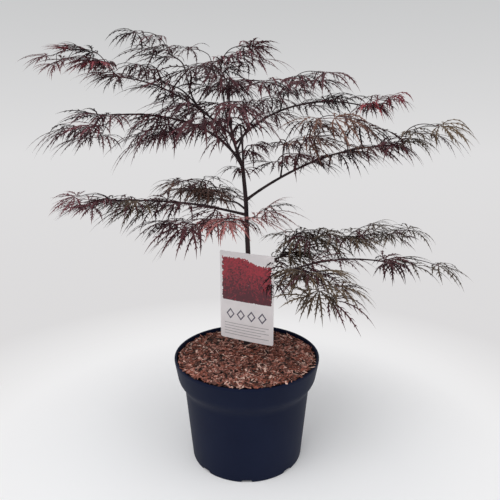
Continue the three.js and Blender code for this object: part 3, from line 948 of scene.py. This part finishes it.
def make_pot():
    outline = pot_outline()
    rings = lathe(outline, POT_SIDES)
    cut_notches(rings, outline)
    pot = Surface()
    pot.add_rings(rings)
    material, shader = principled("pot_plastic", roughness=0.55, specular_ior_level=0.1)
    fine = object_noise(material, 900, 2)
    mottle(material, shader, object_noise(material, 14), POT_DARK, POT_LIGHT)
    bump(material, shader, fine, 0.12, 0.15 * MM)
    pot.piece("pot_moulding", material, "pot_plastic", ["pot"])


# ---------------- mulch

MULCH_SEED = 11
CHIP_COUNT = 3000
SLIVER_COUNT = 4200
CHIP_SIZE = np.array([[5.0, 2.2, 0.8], [14.0, 5.0, 2.2]]) * MM
SLIVER_SIZE = np.array([[6.0, 0.8, 0.6], [15.0, 2.0, 1.1]]) * MM
# How much the mulch rises in its humps, to the front and round the stem, and drops at its edge.
HUMP_RISE = 1.2 * MM
FRONT_RISE = 8.5 * MM
STEM_RISE = 16 * MM
STEM_REACH = 23 * MM
EDGE_DROP = 1.0 * MM
CHIP_FACES = np.array([
    [0, 1, 3, 2], [4, 6, 7, 5], [0, 4, 5, 1], [2, 3, 7, 6], [0, 2, 6, 4], [1, 5, 7, 3],
])
# Plain base colours of the chips, and the share of the chips that each takes.
CHIP_TONES = {
    "russet": ((0.250, 0.078, 0.052), 0.28),
    "rosy": ((0.460, 0.205, 0.160), 0.23),
    "tan": ((0.680, 0.455, 0.380), 0.11),
    "umber": ((0.115, 0.047, 0.036), 0.19),
    "dark": ((0.026, 0.014, 0.012), 0.19),
}


def heap(x, y, radius):
    """How high the mulch lies over its CAD surface. More of it is at the front and by the trunk."""
    humps = np.sin(x * 95 + 1.0) * np.cos(y * 80 + 0.4) + 0.6 * np.sin(x * 170 - y * 140)
    front = np.clip(0.45 - 0.9 * y / radius, 0, 1)
    edge = np.hypot(x, y) / radius
    stem = np.exp(-(np.hypot(x - TRUNK_FOOT[0], y - TRUNK_FOOT[1]) / STEM_REACH) ** 2)
    return HUMP_RISE * humps + FRONT_RISE * front * edge**3 + STEM_RISE * stem - EDGE_DROP * edge**6


def turn_matrices(rng, count, tilt):
    """Random turns about Z of things that are tipped by up to about a tilt."""
    yaw = rng.uniform(0, 2 * math.pi, count)
    pitch = rng.normal(0, tilt, count)
    roll = rng.normal(0, tilt, count)
    cy, sy, cp, sp, cr, sr = (f(a) for a in (yaw, pitch, roll) for f in (np.cos, np.sin))
    zero, one = np.zeros(count), np.ones(count)
    about_z = np.stack([cy, -sy, zero, sy, cy, zero, zero, zero, one], 1).reshape(-1, 3, 3)
    about_y = np.stack([cp, zero, sp, zero, one, zero, -sp, zero, cp], 1).reshape(-1, 3, 3)
    about_x = np.stack([one, zero, zero, zero, cr, -sr, zero, sr, cr], 1).reshape(-1, 3, 3)
    return about_z @ about_y @ about_x


def chips(rng, count, sizes, tilt, radius, ground):
    """The corners of irregular six-sided chips that are strewn over the compost."""
    corners = np.array([[x, y, z] for x in (-1, 1) for y in (-1, 1) for z in (-1, 1)]) / 2
    size = rng.uniform(*sizes, (count, 3))
    shape = corners * rng.uniform(0.45, 1.15, (count, 8, 3))
    shape[..., 1] += 0.35 * (corners[:, 0] ** 2 - 0.25)[None] * rng.normal(0, 1, (count, 1))
    body = np.einsum("nij,nkj->nki", turn_matrices(rng, count, tilt), shape * size[:, None])
    angle = rng.uniform(0, 2 * math.pi, count)
    reach = (radius + 5 * MM * np.clip(-np.sin(angle), 0, 1)) * np.sqrt(rng.random(count))
    x, y = reach * np.cos(angle), reach * np.sin(angle)
    z = ground + heap(x, y, radius) + rng.uniform(-2.2, 1.4, count) * MM
    return body + np.stack([x, y, z], 1)[:, None]


def make_mulch():
    """Chips and slivers of bark over the compost, as one piece for each tone."""
    rng = np.random.default_rng(MULCH_SEED)
    _, top = cad_box("compost")
    _, rim = cad_box("pot")
    radius = top[0] - 1.5 * MM
    batches = [
        chips(rng, CHIP_COUNT, CHIP_SIZE, 0.32, radius, top[2]),
        chips(rng, SLIVER_COUNT, SLIVER_SIZE, 0.25, radius, top[2] + 0.8 * MM),
    ]
    surfaces = {tone: Surface() for tone in CHIP_TONES}
    shares = [share for _, share in CHIP_TONES.values()]
    for corners in batches:
        far = np.hypot(corners[..., 0], corners[..., 1]).max(1)
        over_rim = corners[..., 2].min(1) > rim[2] - 0.5 * MM
        inside = (far < top[0] + 0.5 * MM) | (over_rim & (far < rim[0] + MM))
        tones = rng.choice(len(shares), len(corners), p=shares)
        for order, surface in enumerate(surfaces.values()):
            chosen = corners[inside & (tones == order)]
            first = (np.arange(len(chosen)) * 8)[:, None, None]
            surface.add(chosen, (first + CHIP_FACES).reshape(-1, 4))
    for tone, surface in surfaces.items():
        material = chip_material(f"bark_chips_{tone}", CHIP_TONES[tone][0])
        surface.piece(f"bark_chips_{tone}", material, "bark_mulch", smooth=False)
    NODES["compost"].data.materials.clear()
    NODES["compost"].data.materials.append(soil_material())


def soil_material():
    material, shader = principled("soil", roughness=0.95, specular_ior_level=0.2)
    grain = object_noise(material, 320, 6)
    mottle(material, shader, grain, (0.010, 0.007, 0.006), (0.060, 0.032, 0.024))
    bump(material, shader, grain, 0.8, 1.5 * MM)
    return material


def chip_material(name, color):
    material, shader = principled(name, roughness=0.78, specular_ior_level=0.3)
    grain = object_noise(material, 420, 5)
    shaded(material, shader, grain, color, 0.55, 1.45, 0.32, 0.68)
    bump(material, shader, grain, 0.6, 0.4 * MM)
    return material


# ---------------- label

LABEL_HEADING = -26  # degrees, the way its width runs
LABEL_THICKNESS = 0.5 * MM
LABEL_CORNER = 3 * MM
LABEL_BOW = 1.6 * MM
PRINT_LIFT = 0.06 * MM
PICTURE_FOOT = 0.45  # share of the card's height
PICTURE_BACKING = (18, 16)  # columns and rows of the broad leaflets behind the small ones
PRINT_SEED = 5
LEAFLETS = 2400
LEAFLET_CORNERS = 8
LEAFLET_TONES = {
    "bright": (0.42, 0.030, 0.050),
    "crimson": (0.27, 0.026, 0.042),
    "deep": (0.105, 0.016, 0.028),
}
INK_VIOLET = (0.10, 0.085, 0.13)
INK_PALE = (0.42, 0.40, 0.42)
LOZENGE = np.array([7.4, 9.2]) * MM  # half sizes
LOZENGE_HOLE = 0.66  # share of its size
LOZENGE_ROW = (0.2, 0.4, 0.6, 0.8)  # shares of the card's width
LOZENGE_HEIGHT = 0.295  # share of the card's height
RULE_LEFT = 0.08
RULE_ENDS = (0.92, 0.86, 0.92, 0.78, 0.92)
RULE_TOP = 0.18  # share of the card's height, for the upper rule
RULE_STEP = 0.032


class Card:
    """The label's own frame: x across it, y up it and z out of its face, from its lower left corner."""

    def __init__(self):
        low, high = cad_box("label_card")
        heading = math.radians(LABEL_HEADING)
        self.across = np.array([math.cos(heading), math.sin(heading), 0])
        self.out = np.cross(self.across, UP)
        self.width = (high[0] - low[0]) / math.cos(heading)
        self.height = high[2] - low[2]
        middle = (low + high) / 2
        self.corner = np.array([middle[0], middle[1], low[2]]) - self.across * self.width / 2

    def place(self, x, y, z):
        """World places for card places. The card bows a little about its height."""
        x, y, z = np.broadcast_arrays(*(np.asarray(v, float) for v in (x, y, z)))
        bow = LABEL_BOW * (1 - (2 * x / self.width - 1) ** 2) - LABEL_BOW / 2
        return (self.corner + x[..., None] * self.across + y[..., None] * UP
                + (z + bow)[..., None] * self.out)


def add_panel(surface, card, x0, y0, x1, y1, z, columns=24):
    """A printed rectangle that follows the card's bow."""
    x = np.linspace(x0, x1, columns)
    rows = np.stack([card.place(x, y0, z), card.place(x, y1, z)], axis=1)
    first = (np.arange(columns - 1) * 2)[:, None]
    surface.add(rows.reshape(-1, 3), first + np.array([0, 2, 3, 1]))


def make_card(card):
    """The card as columns between its lower and upper edge, front and back."""
    corner = LABEL_CORNER * (1 - np.cos(np.radians(np.linspace(0, 90, 7))))
    middle = np.linspace(LABEL_CORNER, card.width - LABEL_CORNER, 30)
    x = np.unique(np.concatenate([corner, middle, card.width - corner]).round(7))
    past = np.maximum(LABEL_CORNER - np.minimum(x, card.width - x), 0)
    inset = LABEL_CORNER - np.sqrt(np.maximum(LABEL_CORNER**2 - past**2, 0))
    front = np.stack([card.place(x, inset, 0), card.place(x, card.height - inset, 0)], 1)
    back = front - card.out * LABEL_THICKNESS
    sheet = Surface()
    sheet.add_rings(np.concatenate([front, back[:, ::-1]], axis=1), clockwise=True)
    material, shader = principled("label_card", roughness=0.38)
    mottle(material, shader, object_noise(material, 60), (0.85, 0.81, 0.82), (0.90, 0.86, 0.87))
    bump(material, shader, object_noise(material, 500, 2), 0.05, 0.1 * MM)
    sheet.piece("label_sheet", material, "label_card", ["label_card"], smooth=False)
    return material


def picture_top(card, x):
    """How high the printed picture reaches, which is less towards the right."""
    along = x / card.width
    return card.height * (0.955 - 0.085 * along - 0.02 * math.sin(9 * along + 1))


def add_leaflet(surface, card, x, y, angle, size, slimness, z):
    """A small oval leaflet, moved up where it would cross the straight foot of the picture."""
    turn = around(LEAFLET_CORNERS)
    dx = size * np.cos(turn) * (1 - 0.25 * np.cos(turn) ** 2)
    dy = size * slimness * np.sin(turn)
    px = x + dx * math.cos(angle) - dy * math.sin(angle)
    py = y + dx * math.sin(angle) + dy * math.cos(angle)
    py += max(card.height * PICTURE_FOOT - py.min(), 0)
    surface.add(card.place(px, py, z), [list(range(LEAFLET_CORNERS))])


def make_picture(card):
    """A plain pattern of small oval leaflets over broad dark ones, darker towards its foot."""
    rng = np.random.default_rng(PRINT_SEED)
    surfaces = {tone: Surface() for tone in LEAFLET_TONES}
    foot = card.height * PICTURE_FOOT
    columns, rows = PICTURE_BACKING
    for cell in range(columns * rows):
        along = (cell % columns + rng.uniform(0.2, 0.8)) / columns
        x = card.width * lerp(0.07, 0.93, along)
        y = lerp(foot, picture_top(card, x) - 3 * MM, (cell // columns + 0.5) / rows)
        z = PRINT_LIFT * (0.4 + 0.5 * cell / (columns * rows))
        add_leaflet(surfaces["deep"], card, x, y, rng.uniform(0, 3), rng.uniform(3.6, 5) * MM, 0.9, z)
    for order in range(LEAFLETS):
        row = rng.random()
        x = card.width * rng.uniform(0.05, 0.95)
        y = lerp(foot, picture_top(card, x), row)
        angle = 0.9 * math.sin(x * 90 + 2) + 1.2 + rng.normal(0, 0.5)
        shade = np.clip(0.95 * row - 0.06 + rng.normal(0, 0.24), 0, 0.999)
        tone = ("deep", "crimson", "bright")[int(shade * 3)]
        z = PRINT_LIFT * (1 + order / LEAFLETS)
        add_leaflet(surfaces[tone], card, x, y, angle, rng.uniform(1.8, 3.2) * MM, 0.42, z)
    for tone, surface in surfaces.items():
        ink = ink_material(f"ink_{tone}", LEAFLET_TONES[tone])
        surface.piece(f"label_leaflets_{tone}", ink, "label_card")


def add_lozenge(surface, card, x, y):
    """A lozenge of four mitred strokes."""
    outer = np.array([(1, 0), (0, 1), (-1, 0), (0, -1)]) * LOZENGE
    corners = np.vstack([outer, outer * LOZENGE_HOLE]) + (x, y)
    faces = [[k, (k + 1) % 4, (k + 1) % 4 + 4, k + 4] for k in range(4)]
    surface.add(card.place(corners[:, 0], corners[:, 1], PRINT_LIFT), faces)


def make_print(card):
    """The printed face: a picture, a row of lozenges and rules of pale ink. It holds no letters."""
    make_picture(card)
    ornament, rules = Surface(), Surface()
    for along in LOZENGE_ROW:
        add_lozenge(ornament, card, card.width * along, card.height * LOZENGE_HEIGHT)
    ornament.piece("label_lozenges", ink_material("ink_violet", INK_VIOLET), "label_card")
    for row, right in enumerate(RULE_ENDS):
        y = card.height * (RULE_TOP - RULE_STEP * row)
        add_panel(rules, card, card.width * RULE_LEFT, y, card.width * right, y + MM, PRINT_LIFT)
    rules.piece("label_rules", ink_material("ink_pale", INK_PALE), "label_card")


def ink_material(name, color):
    material, shader = principled(name, roughness=0.4)
    shaded(material, shader, object_noise(material, 300), color, 0.85, 1.12)
    return material


def make_strap(card, material):
    """The strap from the card's top edge, round the trunk and back."""
    low, high = cad_box("label_loop")
    radius = (high[0] - low[0]) / 2 - LABEL_THICKNESS
    rise = UP * (high[2] - low[2]) / 2
    start = card.place(card.width / 2, card.height - 6 * MM, 0) - card.out * LABEL_THICKNESS * 1.2
    toward = math.atan2(-card.out[1], -card.out[0])
    angles = toward + np.linspace(0.75, 2 * math.pi - 0.75, 40) + math.pi
    ring = (low + high) / 2 + radius * np.stack([np.cos(angles), np.sin(angles), 0 * angles], axis=1)
    leave = bezier(start, start + UP * 4 * MM, ring[0] + card.out * 4 * MM, ring[0], 8)
    join = bezier(ring[-1], ring[-1] + card.out * 3 * MM, start, start, 8)
    path = np.vstack([leave[:-1], ring, join[1:]])
    edge = unit(np.cross(tangents(path), UP)) * LABEL_THICKNESS
    strap = Surface()
    corners = [path + rise, path - rise, path - rise + edge, path + rise + edge]
    strap.add_rings(np.stack(corners, axis=1), clockwise=True)
    strap.piece("label_strap", material, "label_card", ["label_loop"], smooth=False)


def make_label():
    card = Card()
    material = make_card(card)
    make_print(card)
    make_strap(card, material)


# ---------------- stage, light and camera

LIGHT_TARGET = (0, 0, 0.3)
FLOOR_RADIUS = 3.0
FLOOR_FADE = (0.22, 0.55)  # the floor's paint melts into its painted glow between these radii
# The floor's painted glow by the distance from the plant. The last meets the studio's at the floor's
# edge.
# A pool of painted light: brightest about 0.45 m out, dimmer from 0.74 m on.
PAINTED_FLOOR_GLOW = (
    (0.22, (0.845, 0.842, 0.848)),
    (0.45, (0.87, 0.865, 0.87)),
    (0.74, (0.72, 0.71, 0.715)),
    (3.0, (0.735, 0.728, 0.733)),
)
# The studio's tones by how much the direction in which it is seen rises or falls.
STUDIO_TONES = (
    (-0.34, (0.72, 0.71, 0.715)),
    (-0.07, (0.74, 0.735, 0.74)),
    (0.22, (0.57, 0.575, 0.58)),
)


def tone_ramp(tree, value, tones):
    """A colour that runs through these tones as the value goes from the first's to the last's."""
    start, end = tones[0][0], tones[-1][0]
    span = new_node(tree, "MapRange", from_min=start, from_max=end)
    ramp = new_node(tree, "ValToRGB")
    stops = ramp.color_ramp.elements
    for _ in tones[2:]:
        stops.new(0.5)
    for stop, (at, color) in zip(stops, tones):
        stop.position = (at - start) / (end - start)
        stop.color = (*color, 1)
    tree.links.new(value, span.inputs["Value"])
    tree.links.new(span.outputs["Result"], ramp.inputs["Fac"])
    return ramp.outputs["Color"]


def floor_material():
    """Pale paint that melts into a painted glow away from the plant; the floor glows though it is no
    lamp.
    """
    material, shader = principled("floor_paint_and_painted_glow", roughness=0.75, base_color=(0.93, 0.93, 0.94),
                                  specular_ior_level=0.2)
    tree = material.node_tree
    coordinates = new_node(tree, "TexCoord")
    distance = new_node(tree, "VectorMath")
    distance.operation = "LENGTH"
    fade = new_node(tree, "MapRange", from_min=FLOOR_FADE[0], from_max=FLOOR_FADE[1])
    fade.interpolation_type = "SMOOTHSTEP"
    # Painted light: an emission that makes the floor glow as a painted pool of light.
    glow = new_node(tree, "Emission")
    mixer = new_node(tree, "MixShader")
    link = tree.links.new
    link(coordinates.outputs["Object"], distance.inputs[0])
    link(distance.outputs["Value"], fade.inputs["Value"])
    link(fade.outputs["Result"], mixer.inputs["Fac"])
    link(tone_ramp(tree, distance.outputs["Value"], PAINTED_FLOOR_GLOW), glow.inputs["Color"])
    link(shader.outputs["BSDF"], mixer.inputs[1])
    link(glow.outputs["Emission"], mixer.inputs[2])
    link(mixer.outputs["Shader"], tree.nodes["Material Output"].inputs["Surface"])
    return material


def make_studio():
    """The world: soft light whose tone depends on how high it comes from."""
    world = bpy.data.worlds.new("studio")
    world.use_nodes = True
    tree = world.node_tree
    coordinates = new_node(tree, "TexCoord")
    height = new_node(tree, "SeparateXYZ")
    tree.links.new(coordinates.outputs["Generated"], height.inputs["Vector"])
    tone = tone_ramp(tree, height.outputs["Z"], STUDIO_TONES)
    tree.links.new(tone, tree.nodes["Background"].inputs["Color"])
    bpy.context.scene.world = world


def make_stage():
    """A round pale floor, the studio round it and two soft lights."""
    bpy.ops.mesh.primitive_circle_add(vertices=96, radius=FLOOR_RADIUS, fill_type="NGON")
    floor = bpy.context.object
    floor.name = "floor"
    floor.data.materials.append(floor_material())
    make_studio()
    add_light("key_light", (-0.9, -1.0, 2.1), 1.8, 26)
    add_light("fill_light", (1.4, -0.6, 1.6), 1.6, 9)


def add_light(name, location, size, power):
    data = bpy.data.lights.new(name, "AREA")
    data.size = size
    data.energy = power
    light = bpy.data.objects.new(name, data)
    light.location = location
    toward = Vector(LIGHT_TARGET) - Vector(location)
    light.rotation_euler = toward.to_track_quat("-Z", "Y").to_euler()
    bpy.context.scene.collection.objects.link(light)


def make_camera():
    data = bpy.data.cameras.new("camera")
    data.lens = CAMERA_LENS
    data.sensor_width = CAMERA_SENSOR
    camera = bpy.data.objects.new("camera", data)
    camera.location = CAMERA_PLACE
    camera.rotation_euler = (math.radians(90 - CAMERA_PITCH), 0, 0)
    bpy.context.scene.collection.objects.link(camera)
    bpy.context.scene.camera = camera


BARK = bark_material()
limbs = read_limbs()
make_limbs(limbs)
make_foliage(limbs)
make_pot()
make_mulch()
make_label()
make_stage()
make_camera()
bpy.context.scene.view_settings.view_transform = "Standard"
